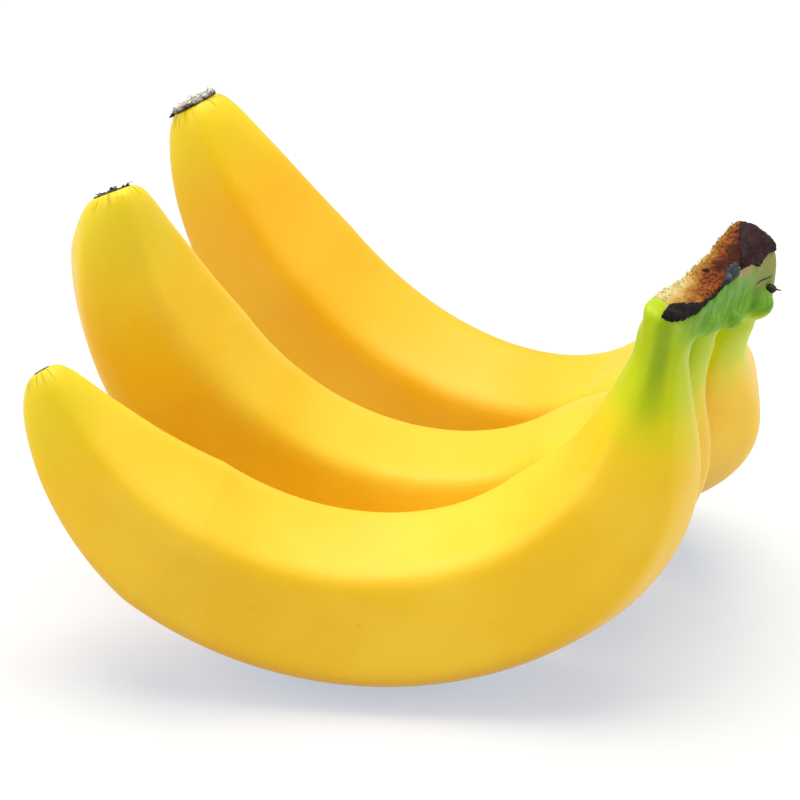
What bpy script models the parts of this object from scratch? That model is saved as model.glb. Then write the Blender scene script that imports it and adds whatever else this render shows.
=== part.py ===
"""A bunch of three bananas, lying on their backs and joined at the crown.

Dimensions are in millimetres and degrees, and each mesh is scaled to metres when it is made.
X runs to the right along the bunch, Y away from the front fruit, and Z up.
Each fruit is a five-sided tube along a bent line that starts at the crown and ends at the
blossom end. The bunch rests at Z = 0 on a small flat under each fruit.
"""
import math
import random

import bmesh
import bpy
import numpy as np
from mathutils import Matrix, Vector

METRE = 0.001
GAP = 0.3

# Fruit, the same for all three
FRUIT_RADIUS = 18.4
NECK_RADIUS = 5.9
NECK_START = 3.0
SEAT_REACH = 14.0
TIP_TAPER = 47.0
TIP_BLUNTNESS = 1.4
THINNING = 0.15
FLAT_DEPTH = 1.4

# Cross-section of a fruit
RIBS = 5
FACETS = 30
RIB_SHARPNESS = 9.0
RIB_FADE = 20.0
BODY_RINGS = 40
TIP_RINGS = 9
TIP_RING_LENGTH = 20.0

# root is the middle of a fruit's neck where it meets the crown. yaw turns the fruit about Z and
# lean tips its top to the front. slope is the neck's, straight the length before it bends, ramp
# the length in which the bend sets in, and turns the degrees of bend in 10 mm at the shoulder,
# middle and tip. swell is where the neck ends, where the shoulder is full, and how slowly it
# starts. splay is how far the body lies beside the neck, and over what length. ribs is the angle
# of a rib above the fruit's front side, and how far it turns down towards the tip.
# remnant is the radius and height of what is left of the flower.
FRUITS = {
    "front": dict(root=(56.0, -53.0, 86.5), yaw=2.0, lean=-4.5, slope=-81.5, straight=24.0,
                  ramp=14.0, turns=(15.5, 5.8, 6.1), swell=(12.0, 66.0, 1.1), splay=(2.5, 70.0),
                  length=200.0, tip_radius=3.2, ribs=(47.0, 28.0), remnant=(3.0, 1.2)),
    "middle": dict(root=(62.4, -39.5, 82.9), yaw=-4.0, lean=-14.5, slope=-79.0, straight=32.0,
                   ramp=14.0, turns=(17.0, 6.1, 4.7), swell=(11.0, 70.0, 2.0), splay=(14.5, 70.0),
                   length=224.0, tip_radius=3.9, ribs=(65.0, 34.0), remnant=(3.7, 2.0)),
    "rear": dict(root=(73.2, -22.1, 79.8), yaw=-25.5, lean=-10.0, slope=-64.5, straight=38.5,
                 ramp=14.0, turns=(13.0, 8.5, 2.4), swell=(8.0, 70.0, 1.9), splay=(29.5, 70.0),
                 length=221.0, tip_radius=4.4, ribs=(52.0, 18.0), remnant=(4.2, 2.8)),
}

# The crown is laid out along the row of necks, from the front one, in its own ROW, OUT and Z:
# ROW runs from the front neck to the rear one, and OUT to the side away from the fruit's bend.
ROW_START = np.array([56.0, -53.0])
ROW = np.array([17.2, 29.5]) / math.hypot(17.2, 29.5)
OUT = np.array([ROW[1], -ROW[0]])
SEAT_HEIGHT = 83.5
SEAT_SLOPE = -0.18
CUT_HEIGHT = 88.0
CUT_SLOPE = 0.14
CUT_TILT = -0.12
CROWN_START = -7.0
CROWN_END = 41.5
CROWN_HALF_WIDTH = 6.6
CROWN_SQUARENESS = 3.0
CROWN_AROUND = 44
CROWN_LEVELS = 8

# Swellings on the crown's outer side: place on ROW, height, radius and how far they stand out
SWELLINGS = ((9.2, 86.0, 3.6, 1.2), (17.6, 83.2, 2.6, 2.2), (29.5, 82.0, 4.6, 3.0),
             (38.0, 87.0, 6.0, 1.2))

# Pith that shows on the cut, torn rind beside it, and the dried end: places on ROW
PITH = (-5.0, 28.0)
PITH_HEIGHT = 1.3
RIM = (-5.0, 24.0)
RIM_THICKNESS = 1.7
RIM_HEIGHT = 2.2
DRIED_END = (28.6, 41.2)
DRIED_HEIGHT = 2.3

# Dried stub of a flower stalk on the crown: place on ROW and OUT, height, radius and length
STUB = (35.5, 8.0, 82.0)
STUB_RADIUS = 0.9
STUB_LENGTH = 3.2

# The lowest places of the fruit lie along this line, and the whole bunch is tipped about it,
# with the fruit's tips going down, until its weight is over the flats
REST_LINE = (31.0, 85.0, 0.0)
TIP_DOWN = 4.0


def smooth(value):
    """Ease from 0 to 1, level at both ends."""
    value = np.clip(value, 0.0, 1.0)
    return value * value * (3.0 - 2.0 * value)


def centre_line(fruit, stations):
    """Return the middle of a fruit at each station, and the fruit's side direction."""
    length = fruit["length"]
    steps = np.linspace(0.0, length, 400)
    along = np.clip((steps - fruit["straight"]) / (length - fruit["straight"]), 0.0, 1.0)
    shoulder, middle, tip = fruit["turns"]
    bend = shoulder * (1 - along) ** 2 + 2 * middle * along * (1 - along) + tip * along ** 2
    bend = bend * np.clip((steps - fruit["straight"]) / fruit["ramp"], 0.0, 1.0) / 10.0
    step = steps[1] - steps[0]
    slope = fruit["slope"] + np.concatenate([[0.0], np.cumsum((bend[1:] + bend[:-1]) / 2 * step)])
    slope = np.radians((slope[1:] + slope[:-1]) / 2)
    forward = np.concatenate([[0.0], np.cumsum(np.cos(slope) * step)])
    upward = np.concatenate([[0.0], np.cumsum(np.sin(slope) * step)])
    yaw = math.radians(fruit["yaw"])
    lean = math.radians(fruit["lean"])
    ahead = np.array([-math.cos(yaw), -math.sin(yaw), 0.0])
    across = np.array([-math.sin(yaw), math.cos(yaw), 0.0])
    up = math.cos(lean) * np.array([0.0, 0.0, 1.0]) + math.sin(lean) * across
    side = np.cross(ahead, up)
    sideways = fruit["splay"][0] * smooth(steps / fruit["splay"][1])
    line = np.array(fruit["root"]) + forward[:, None] * ahead + upward[:, None] * up
    line = line + sideways[:, None] * side
    places = np.stack([np.interp(stations, steps, line[:, axis]) for axis in range(3)], 1)
    return places, side


def mean_radius(fruit, stations):
    """Neck, swelling shoulder, long body and blunt tip."""
    length = fruit["length"]
    neck_end, shoulder_end, slowness = fruit["swell"]
    swell = np.clip((stations - neck_end) / (shoulder_end - neck_end), 0.0, 1.0)
    radius = NECK_RADIUS + (FRUIT_RADIUS - NECK_RADIUS) * np.sin(swell * math.pi / 2) ** slowness
    radius = radius * (1 - THINNING * np.clip((stations / length - 0.45) / 0.55, 0, 1) ** 2)
    taper = np.clip((stations - length + TIP_TAPER) / TIP_TAPER, 0, 1)
    end = fruit["tip_radius"]
    return end + (radius - end) * np.sqrt(1 - taper ** TIP_BLUNTNESS)


def ribbed(angles):
    """Radius of a rounded five-sided section with a rib at angle 0, about 1 on average."""
    total = np.zeros_like(angles)
    for index in range(RIBS):
        face = (index + 0.5) * math.tau / RIBS
        total += np.maximum(np.cos(angles - face), 0.0) ** RIB_SHARPNESS
    return total ** (-1.0 / RIB_SHARPNESS) / 1.06


def ring_stations(length):
    """Even rings along the body, and closer ones where the tip rounds off."""
    body = np.linspace(NECK_START, length - TIP_RING_LENGTH, BODY_RINGS, endpoint=False)
    turn = np.linspace(0.0, math.pi / 2, TIP_RINGS)
    return np.concatenate([body, length - TIP_RING_LENGTH * (1 - np.sin(turn))])


def seat_height(x, y):
    """Height of the crown's flat underside, where the necks meet it."""
    row = (x - ROW_START[0]) * ROW[0] + (y - ROW_START[1]) * ROW[1]
    return SEAT_HEIGHT + SEAT_SLOPE * row


def fruit_rings(fruit):
    """Return the rings of points of a fruit, its tip's middle and the way the tip points."""
    stations = ring_stations(fruit["length"])
    middles, side = centre_line(fruit, stations)
    forward = np.gradient(middles, axis=0)
    forward /= np.linalg.norm(forward, axis=1)[:, None]
    across = side - (forward @ side)[:, None] * forward
    across /= np.linalg.norm(across, axis=1)[:, None]
    inward = np.cross(across, forward)
    radius = mean_radius(fruit, stations)
    around = np.arange(FACETS) * math.tau / FACETS
    strength = 0.45 + 0.55 * smooth((stations - 10.0) / 40.0)
    strength *= 1 - 0.85 * smooth((stations - fruit["length"] + RIB_FADE) / RIB_FADE)
    spread = radius[:, None] * (1 + (ribbed(around)[None] - 1) * strength[:, None])
    rib_angle, rib_turn = fruit["ribs"]
    first_rib = rib_angle - rib_turn * smooth((stations - 80.0) / (fruit["length"] - 80.0))
    angles = np.radians(first_rib)[:, None] + around[None]
    rings = (middles[:, None] - across[:, None] * (spread * np.cos(angles))[..., None]
             + inward[:, None] * (spread * np.sin(angles))[..., None])
    # the first rings lean, so that the neck's end lies flat against the crown
    seat_up = np.array([-SEAT_SLOPE * ROW[0], -SEAT_SLOPE * ROW[1], 1.0])
    lack = seat_height(rings[0, :, 0], rings[0, :, 1]) - GAP - rings[0, :, 2]
    shift = lack / (forward[0] @ seat_up)
    share = np.clip(1 - (stations - NECK_START) / SEAT_REACH, 0, 1) ** 2
    rings = rings + share[:, None, None] * shift[None, :, None] * forward[0]
    return rings, middles[-1], forward[-1]


def crown_place(row, out, height):
    """Turn places on the crown's own axes into X, Y and Z."""
    ground = ROW_START + np.multiply.outer(row, ROW) + np.multiply.outer(out, OUT)
    return np.concatenate([ground, np.asarray(height)[..., None]], -1)


def cut_height(row, out):
    """Height of the crown's cut top."""
    return CUT_HEIGHT + CUT_SLOPE * row + CUT_TILT * out


def oval(start, end, half_width, scale, count):
    """Places on ROW and OUT of a squarish oval."""
    turn = np.arange(count) * math.tau / count
    power = 2.0 / CROWN_SQUARENESS
    row = np.sign(np.cos(turn)) * np.abs(np.cos(turn)) ** power * (end - start) / 2 * scale
    out = np.sign(np.sin(turn)) * np.abs(np.sin(turn)) ** power * half_width * scale
    return (start + end) / 2 + row, out


def ragged(count, depth, seed):
    """Uneven heights round an edge, between 0 and depth."""
    draw = random.Random(seed)
    heights = np.array([draw.random() for _ in range(count)])
    return depth * (0.65 * heights + 0.35 * np.roll(heights, 1))


def crown_rings():
    """Level rings from the flat seat on the necks up to the cut, with the swellings."""
    rings = []
    for level in np.linspace(0.0, 1.0, CROWN_LEVELS):
        waist = 1.0 + 0.05 * math.sin(math.pi * level)
        row, out = oval(CROWN_START, CROWN_END, CROWN_HALF_WIDTH, waist, CROWN_AROUND)
        seat = SEAT_HEIGHT + SEAT_SLOPE * row
        height = seat + level * (cut_height(row, out) - seat)
        for place, middle, radius, amount in SWELLINGS:
            near = ((row - place) ** 2 + (height - middle) ** 2) / radius ** 2
            out = out + amount * np.exp(-near) * np.clip(out / 4.0, 0.0, 1.0)
        rings.append(crown_place(row, out, height))
    return np.array(rings)


def pith_rings():
    """A low fibrous pad on the cut, with a torn top."""
    rings = []
    levels = ((1.0, 0.0, 0.0), (0.98, 0.6, 0.3), (0.9, 1.0, 0.8), (0.68, 1.0, 0.7), (0.35, 0.9, 0.7))
    for index, (scale, rise, roughness) in enumerate(levels):
        row, out = oval(*PITH, 4.3, scale, CROWN_AROUND)
        out = out - 1.0
        height = cut_height(row, out) + GAP + PITH_HEIGHT * rise
        height = height + ragged(CROWN_AROUND, roughness * (rise > 0), 20 + index)
        rings.append(crown_place(row, out, height))
    return np.array(rings)


def rim_rings():
    """The rind's torn edge, a strip along the outer side of the cut."""
    count = 22
    rows = np.linspace(*RIM, count)
    tops = RIM_HEIGHT * (0.55 + 0.45 * np.cos((rows - RIM[0]) / 9.0) ** 2) + ragged(count, 0.9, 5)
    half_length = (CROWN_END - CROWN_START) / 2
    place = np.clip(np.abs(rows - CROWN_START - half_length) / half_length, 0.0, 0.97)
    edge = CROWN_HALF_WIDTH * (1 - place ** CROWN_SQUARENESS) ** (1 / CROWN_SQUARENESS)
    rings = []
    for row, top, outer in zip(rows, tops, edge):
        foot = np.array([outer - 0.3, outer - 0.3 - RIM_THICKNESS])
        outs = np.array([foot[0], foot[0] + 0.5, foot[0] + 0.4, foot[1] + 0.9, foot[1] + 0.1, foot[1]])
        rises = np.array([0.0, 0.5, 0.95, 1.0, 0.5, 0.0]) * top
        heights = cut_height(row, outs) + GAP + rises
        rings.append(crown_place(np.full(6, row), outs, heights))
    return np.array(rings)


def dried_end_rings():
    """The dark dried cap over the rear end of the cut."""
    count = 24
    rings = []
    levels = ((1.0, 0.0), (1.02, 0.35), (0.95, 0.65), (0.78, 0.88), (0.5, 1.0), (0.22, 1.02))
    for index, (scale, rise) in enumerate(levels):
        row, out = oval(*DRIED_END, 6.2, scale, count)
        height = cut_height(row, out) + GAP + DRIED_HEIGHT * rise
        height = height + ragged(count, 0.35 * (rise > 0), 40 + index)
        rings.append(crown_place(row, out, height))
    return np.array(rings)


def stack(middle, forward, levels, count, seed):
    """Rings round a line: each level is a radius, a distance along it and a raggedness."""
    forward = np.asarray(forward) / np.linalg.norm(forward)
    first = np.cross(forward, [0.0, 0.0, 1.0])
    first /= np.linalg.norm(first)
    second = np.cross(forward, first)
    turn = np.arange(count) * math.tau / count
    rings = []
    for index, (radius, distance, roughness) in enumerate(levels):
        spread = radius * (1 - ragged(count, 0.35 * roughness, seed + index))
        along = distance - ragged(count, distance * 0.4 * roughness, seed + 50 + index)
        rings.append(middle + along[:, None] * forward
                     + (spread * np.cos(turn))[:, None] * first
                     + (spread * np.sin(turn))[:, None] * second)
    return np.array(rings)


def blossom_rings(fruit, seed):
    """What is left of the flower: a short crumpled collar with a hollow top."""
    rings, middle, forward = fruit_rings(fruit)
    radius, height = fruit["remnant"]
    levels = ((radius * 0.92, 0.0, 0.0), (radius, height * 0.35, 0.5), (radius, height, 1.0),
              (radius * 0.72, height * 0.95, 0.8), (radius * 0.5, height * 0.5, 0.3))
    return stack(middle + GAP * forward, forward, levels, 16, seed)


def stub_rings():
    """The dried stub, thinner towards its end."""
    place = crown_place(STUB[0], STUB[1], STUB[2])
    forward = np.append(OUT + 0.5 * ROW, -0.15)
    levels = ((STUB_RADIUS, 0.0, 0.0), (STUB_RADIUS * 1.1, 0.3 * STUB_LENGTH, 0.5),
              (STUB_RADIUS * 0.6, 0.65 * STUB_LENGTH, 0.4), (STUB_RADIUS * 0.3, STUB_LENGTH, 0.3))
    return stack(place, forward, levels, 8, 70)


def tip_down(points):
    """Tip the bunch about its line of flats."""
    turn = np.array(Matrix.Rotation(math.radians(-TIP_DOWN), 3, Vector(REST_LINE)))
    return points @ turn.T


def material(name, color, roughness):
    """A plain Principled material of one colour."""
    made = bpy.data.materials.new(name)
    made.use_nodes = True
    shader = made.node_tree.nodes["Principled BSDF"]
    shader.inputs["Base Color"].default_value = (*color, 1.0)
    shader.inputs["Roughness"].default_value = roughness
    shader.inputs["Metallic"].default_value = 0.0
    return made


def loft(rings):
    """Return the points and faces of a closed body through rings, fanned to a point at each end."""
    count, around = rings.shape[:2]
    points = list(rings.reshape(-1, 3))
    faces = []
    for row in range(count - 1):
        for column in range(around):
            after = (column + 1) % around
            faces.append((row * around + column, row * around + after,
                          (row + 1) * around + after, (row + 1) * around + column))
    for row in (0, count - 1):
        points.append(rings[row].mean(0))
        for column in range(around):
            faces.append((row * around + column, row * around + (column + 1) % around,
                          len(points) - 1))
    return points, faces


def cut_flat(body, ground):
    """Cut away what is below the ground, and close the cut with one flat face."""
    if min(corner.co.z for corner in body.verts) >= ground:
        return
    parts = body.verts[:] + body.edges[:] + body.faces[:]
    bmesh.ops.bisect_plane(body, geom=parts, plane_co=(0.0, 0.0, ground),
                           plane_no=(0.0, 0.0, 1.0), clear_inner=True)
    rim = [edge for edge in body.edges if edge.is_boundary]
    bmesh.ops.edgeloop_fill(body, edges=rim)
    bmesh.ops.recalc_face_normals(body, faces=body.faces)


def add_object(name, rings, finish):
    """Make one object from rings in millimetres, with its origin in the middle of the first."""
    points, faces = loft(rings)
    origin = rings[0].mean(0)
    mesh = bpy.data.meshes.new(name)
    mesh.from_pydata([tuple((point - origin) * METRE) for point in points], [], faces)
    body = bmesh.new()
    body.from_mesh(mesh)
    bmesh.ops.recalc_face_normals(body, faces=body.faces)
    cut_flat(body, -origin[2] * METRE)
    bmesh.ops.triangulate(body, faces=body.faces)
    body.to_mesh(mesh)
    body.free()
    mesh.shade_smooth()
    mesh.set_sharp_from_angle(angle=math.radians(40))
    mesh.materials.append(finish)
    item = bpy.data.objects.new(name, mesh)
    item.location = origin * METRE
    bpy.context.scene.collection.objects.link(item)
    return item


def main():
    for item in list(bpy.data.objects):
        bpy.data.objects.remove(item, do_unlink=True)
    peel = material("ripe peel", (0.87, 0.62, 0.06), 0.42)
    green = material("green crown skin", (0.16, 0.36, 0.05), 0.5)
    cream = material("cut pith", (0.74, 0.55, 0.27), 0.85)
    rind = material("dried rind", (0.03, 0.02, 0.012), 0.7)
    remnant = material("dried flower", (0.12, 0.09, 0.07), 0.8)

    pieces = [("banana_" + name, fruit_rings(fruit)[0], peel) for name, fruit in FRUITS.items()]
    pieces.append(("crown", crown_rings(), green))
    pieces.append(("crown_pith", pith_rings(), cream))
    pieces.append(("torn_rind", rim_rings(), rind))
    pieces.append(("dried_end", dried_end_rings(), rind))
    pieces.append(("dried_stub", stub_rings(), rind))
    for seed, (name, fruit) in enumerate(FRUITS.items()):
        pieces.append(("blossom_end_" + name, blossom_rings(fruit, seed), remnant))

    turned = [(name, tip_down(rings), finish) for name, rings, finish in pieces]
    ground = min(rings[..., 2].min() for _, rings, _ in turned) + FLAT_DEPTH
    corners = np.concatenate([rings.reshape(-1, 3) for _, rings, _ in turned])
    middle = (corners.max(0) + corners.min(0)) / 2
    for name, rings, finish in turned:
        add_object(name, rings - np.array([middle[0], middle[1], ground]), finish)


main()
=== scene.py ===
"""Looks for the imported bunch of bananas, built round its fixed CAD frame.

The three peels and the crown's skin are one grown surface here. The cut pith, the torn rind, the
dried end, the dried stub and the dried flowers are pieces of their own. Shapes are worked out in
millimetres, in the bunch as it was drawn, then tipped and moved on to the CAD frame in metres.
"""

import math
import random
from functools import partial

import bmesh
import bpy
import numpy as np
from mathutils import Matrix, Vector, noise
from mathutils.bvhtree import BVHTree


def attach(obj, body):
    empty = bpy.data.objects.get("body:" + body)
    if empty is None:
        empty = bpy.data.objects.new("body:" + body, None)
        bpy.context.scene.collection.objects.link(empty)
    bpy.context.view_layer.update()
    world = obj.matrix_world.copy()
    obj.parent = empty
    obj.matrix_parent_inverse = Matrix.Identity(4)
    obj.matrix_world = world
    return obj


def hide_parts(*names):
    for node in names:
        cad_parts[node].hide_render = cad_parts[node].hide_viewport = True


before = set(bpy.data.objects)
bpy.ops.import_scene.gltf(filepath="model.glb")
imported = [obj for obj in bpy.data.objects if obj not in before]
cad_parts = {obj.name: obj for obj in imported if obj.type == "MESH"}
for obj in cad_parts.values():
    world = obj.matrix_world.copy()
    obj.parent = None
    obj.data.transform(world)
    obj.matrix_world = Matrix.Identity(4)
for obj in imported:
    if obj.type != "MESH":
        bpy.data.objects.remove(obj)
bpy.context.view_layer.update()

METRE = 0.001

# How the drawn bunch was tipped about its line of flats and moved to the CAD frame's origin
REST_LINE = (31.0, 85.0, 0.0)
TIP_DOWN = 4.0
ORIGIN = np.array([-2.60, 8.14, -0.09])

# Fruit, with sizes close to the CAD solids'
FRUIT_RADIUS = 18.4
NECK_RADIUS = 5.9
TIP_TAPER = 47.0
THINNING = 0.15
RIBS = 5
RIB_SHARPNESS = 9.0
RIB_FADE = 20.0
NECK_DOME = 2.5
SCAR_REACH = 16.0
BEND_RAMP = 14.0

# Each fruit: where its middle starts, its first direction in degrees, how far its neck is straight,
# its bends at shoulder, middle and tip, where its neck swells, how it splays, its length and tip,
# the angle and turn of its ribs, and the way its scar faces
FRUITS = {
    "front": dict(root=(56.0, -53.0, 86.5), yaw=2.0, lean=-4.5, slope=-81.5, straight=24.0,
                  turns=(15.5, 5.8, 6.1), swell=(9.0, 66.0, 1.15), splay=(2.5, 70.0),
                  length=202.0, tip_radius=1.9, blunt=1.15, ribs=(47.0, 28.0),
                  scar_way=(-0.50, 0.30, 0.81)),
    "middle": dict(root=(62.4, -39.5, 82.9), yaw=-4.0, lean=-14.5, slope=-79.0, straight=32.0,
                   turns=(17.0, 6.1, 4.7), swell=(11.0, 70.0, 2.0), splay=(14.5, 70.0),
                   length=224.0, tip_radius=3.9, blunt=1.35, ribs=(65.0, 34.0),
                   scar_way=(-0.35, 0.32, 0.90)),
    "rear": dict(root=(73.2, -22.1, 79.8), yaw=-25.5, lean=-10.0, slope=-64.5, straight=38.5,
                 turns=(13.0, 8.5, 2.4), swell=(9.5, 70.0, 2.0), splay=(29.5, 70.0),
                 length=221.0, tip_radius=4.4, blunt=1.4, ribs=(52.0, 18.0),
                 scar_way=(-0.46, 0.22, 0.86)),
}

# Crown, laid out along the row of necks in its own ROW, OUT and Z
ROW_START = np.array([56.0, -53.0])
ROW = np.array([17.2, 29.5]) / math.hypot(17.2, 29.5)
OUT = np.array([ROW[1], -ROW[0]])
SEAT_HEIGHT = 83.5
SEAT_SLOPE = -0.18
CROWN_START = -7.4
CROWN_END = 44.5

# Sections across the crown: place on ROW, middle on OUT, how far it reaches to the outer and the
# inner side, height and tilt of its top, and how square it is. The cut is flat, with its inner
# side higher at the front, and the rear end is a dome.
CROWN_SECTIONS = np.array((
    (-7.4, 0.1, 5.9, 6.0, 91.0, -0.50, 8.0),
    (3.0, 0.4, 5.6, 5.0, 89.7, -0.26, 8.0),
    (12.0, 0.6, 5.3, 4.2, 90.3, -0.08, 8.0),
    (24.0, 0.2, 5.8, 3.6, 92.7, 0.0, 6.0),
    (31.0, -0.9, 8.8, 3.8, 94.6, 0.0, 3.2),
    (37.0, -1.7, 12.7, 4.4, 96.4, 0.0, 2.35),
    (44.5, -1.7, 13.6, 4.6, 95.8, 0.0, 2.3)))
CROWN_FOOT = 0.34
CROWN_ROUNDNESS = 3.0

# Round swellings on the outer side: place on ROW, OUT and Z, and their radii
SWELLINGS = (((9.4, 4.2, 83.4), (3.6, 3.0, 2.8)), ((17.6, 5.8, 81.3), (2.2, 2.5, 2.3)),
             ((30.6, 4.8, 80.2), (4.6, 4.4, 3.6)))

# The dried cap and the pith meet along a line across the crown that keeps its place on X
CAP_START = 71.8


def smooth(value):
    """Ease from 0 to 1, level at both ends."""
    value = np.clip(value, 0.0, 1.0)
    return value * value * (3.0 - 2.0 * value)


TIPPED = np.array(Matrix.Rotation(math.radians(-TIP_DOWN), 3, Vector(REST_LINE)))


def placed(points):
    """Tip the drawn bunch on to its flats and move it to the CAD frame, still in millimetres."""
    return np.asarray(points) @ TIPPED.T - ORIGIN


def as_drawn(points):
    """Undo placed."""
    return (np.asarray(points) + ORIGIN) @ TIPPED


def unit(way):
    """A way with a length of 1."""
    return np.asarray(way) / np.linalg.norm(way)


def square_to(way):
    """Two directions square to a way and to each other."""
    first = unit(np.cross(way, [0.0, 0.0, 1.0]))
    return first, np.cross(way, first)


def full_turn(count):
    """Even angles round a circle."""
    return np.arange(count) * math.tau / count


def grain(points, size, seed):
    """Soft noise from -1 to 1 whose lumps are about size millimetres wide."""
    shift = Vector((seed * 7.3, seed * 3.1, seed * 5.7))
    return np.array([noise.noise(Vector(point) / size + shift) for point in points])


# The peel

def centre_line(fruit, stations):
    """Return the middle of a fruit at each station, and the fruit's side direction."""
    length = fruit["length"]
    steps = np.linspace(0.0, length, 400)
    along = np.clip((steps - fruit["straight"]) / (length - fruit["straight"]), 0.0, 1.0)
    shoulder, middle, tip = fruit["turns"]
    bend = shoulder * (1 - along) ** 2 + 2 * middle * along * (1 - along) + tip * along ** 2
    bend = bend * np.clip((steps - fruit["straight"]) / BEND_RAMP, 0.0, 1.0) / 10.0
    step = steps[1] - steps[0]
    slope = fruit["slope"] + np.concatenate([[0.0], np.cumsum((bend[1:] + bend[:-1]) / 2 * step)])
    slope = np.radians((slope[1:] + slope[:-1]) / 2)
    forward = np.concatenate([[0.0], np.cumsum(np.cos(slope) * step)])
    upward = np.concatenate([[0.0], np.cumsum(np.sin(slope) * step)])
    yaw = math.radians(fruit["yaw"])
    lean = math.radians(fruit["lean"])
    ahead = np.array([-math.cos(yaw), -math.sin(yaw), 0.0])
    across = np.array([-math.sin(yaw), math.cos(yaw), 0.0])
    up = math.cos(lean) * np.array([0.0, 0.0, 1.0]) + math.sin(lean) * across
    side = np.cross(ahead, up)
    sideways = fruit["splay"][0] * smooth(steps / fruit["splay"][1])
    line = np.array(fruit["root"]) + forward[:, None] * ahead + upward[:, None] * up
    line = line + sideways[:, None] * side
    places = np.stack([np.interp(stations, steps, line[:, axis]) for axis in range(3)], 1)
    return places, side


def mean_radius(fruit, stations):
    """Neck, swelling shoulder, long body and blunt tip."""
    length = fruit["length"]
    neck_end, shoulder_end, slowness = fruit["swell"]
    swell = np.clip((stations - neck_end) / (shoulder_end - neck_end), 0.0, 1.0)
    radius = NECK_RADIUS + (FRUIT_RADIUS - NECK_RADIUS) * np.sin(swell * math.pi / 2) ** slowness
    radius = radius * (1 - THINNING * np.clip((stations / length - 0.45) / 0.55, 0, 1) ** 2)
    taper = np.clip((stations - length + TIP_TAPER) / TIP_TAPER, 0, 1)
    end = fruit["tip_radius"]
    radius = end + (radius - end) * np.sqrt(1 - taper ** fruit["blunt"])
    return radius * np.sqrt(1 - 0.96 * (1 - np.clip(stations / NECK_DOME, 0, 1)) ** 2)


def ribbed(angles):
    """Radius of a rounded five-sided section with a rib at angle 0, about 1 on average."""
    total = np.zeros_like(angles)
    for index in range(RIBS):
        face = (index + 0.5) * math.tau / RIBS
        total += np.maximum(np.cos(angles - face), 0.0) ** RIB_SHARPNESS
    return total ** (-1.0 / RIB_SHARPNESS) / 1.06


def peel_points(fruit, stations, around, shrink=0.0):
    """Points of a fruit's peel at stations along it and at angles round it from its first rib."""
    length = fruit["length"]
    middles, side = centre_line(fruit, stations)
    ahead = centre_line(fruit, np.minimum(stations + 0.5, length))[0]
    behind = centre_line(fruit, np.maximum(stations - 0.5, 0.0))[0]
    forward = ahead - behind
    forward /= np.linalg.norm(forward, axis=1)[:, None]
    across = side - (forward @ side)[:, None] * forward
    across /= np.linalg.norm(across, axis=1)[:, None]
    inward = np.cross(across, forward)
    strength = 0.3 + 0.7 * smooth((stations - 10.0) / 50.0)
    strength *= 1 - 0.85 * smooth((stations - length + RIB_FADE) / RIB_FADE)
    spread = (mean_radius(fruit, stations) - shrink) * (1 + (ribbed(around) - 1) * strength)
    first_rib, rib_turn = fruit["ribs"]
    angle = np.radians(first_rib - rib_turn * smooth((stations - 80.0) / (length - 80.0))) + around
    offset = (inward * (spread * np.sin(angle))[:, None]
              - across * (spread * np.cos(angle))[:, None])
    facing = np.array(fruit["scar_way"])
    slant = smooth((stations - length + SCAR_REACH) / SCAR_REACH) * (offset @ facing)
    return middles + offset - forward * (slant / (forward @ facing))[:, None]


PEEL_RINGS = 200
PEEL_FACETS = 90
TIP_RINGS = 30
TIP_RING_LENGTH = 20.0


def peel_stations(length):
    """Even rings, and closer ones where the tip rounds off."""
    body = np.linspace(0.0, length - TIP_RING_LENGTH, PEEL_RINGS - TIP_RINGS, endpoint=False)
    turn = np.linspace(0.0, math.pi / 2, TIP_RINGS)
    return np.concatenate([body, length - TIP_RING_LENGTH * (1 - np.sin(turn))])


def peel_rings(fruit, shrink=0.0):
    """Rings of points of a whole fruit, thinner by shrink beyond its neck."""
    stations = np.repeat(peel_stations(fruit["length"]), PEEL_FACETS)
    around = np.tile(full_turn(PEEL_FACETS), PEEL_RINGS)
    thinner = shrink * smooth((stations - 30.0) / 30.0)
    return peel_points(fruit, stations, around, thinner).reshape(PEEL_RINGS, PEEL_FACETS, 3)


def crown_place(row, out, height):
    """Turn places on the crown's own axes into X, Y and Z."""
    ground = ROW_START + np.multiply.outer(row, ROW) + np.multiply.outer(out, OUT)
    return np.concatenate([ground, np.asarray(height)[..., None]], -1)


def on_crown(points):
    """Turn X, Y and Z into places on the crown's own axes."""
    ground = points[:, :2] - ROW_START
    return ground @ ROW, ground @ OUT, points[:, 2]


def crown_section(row):
    """The section at places on ROW: middle, outer and inner reach, top, its tilt and squareness."""
    return [np.interp(row, CROWN_SECTIONS[:, 0], column) for column in CROWN_SECTIONS.T[1:]]


def cut_top(row, out):
    """Height of the crown's top where it isn't rounded."""
    top, tilt = crown_section(row)[3:5]
    return top + tilt * out


def crown_reach(row):
    """How far the crown reaches out and in at places on ROW, with its rounded ends."""
    middle, outer, inner, _, _, _ = crown_section(row)
    half = (CROWN_END - CROWN_START) / 2
    place = np.clip(np.abs(row - CROWN_START - half) / half, 0.0, 0.999)
    width = (1 - place ** CROWN_ROUNDNESS) ** (1 / CROWN_ROUNDNESS)
    return middle + outer * width, middle - inner * width


CROWN_FACETS = 160
CROWN_RINGS = 50


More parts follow.
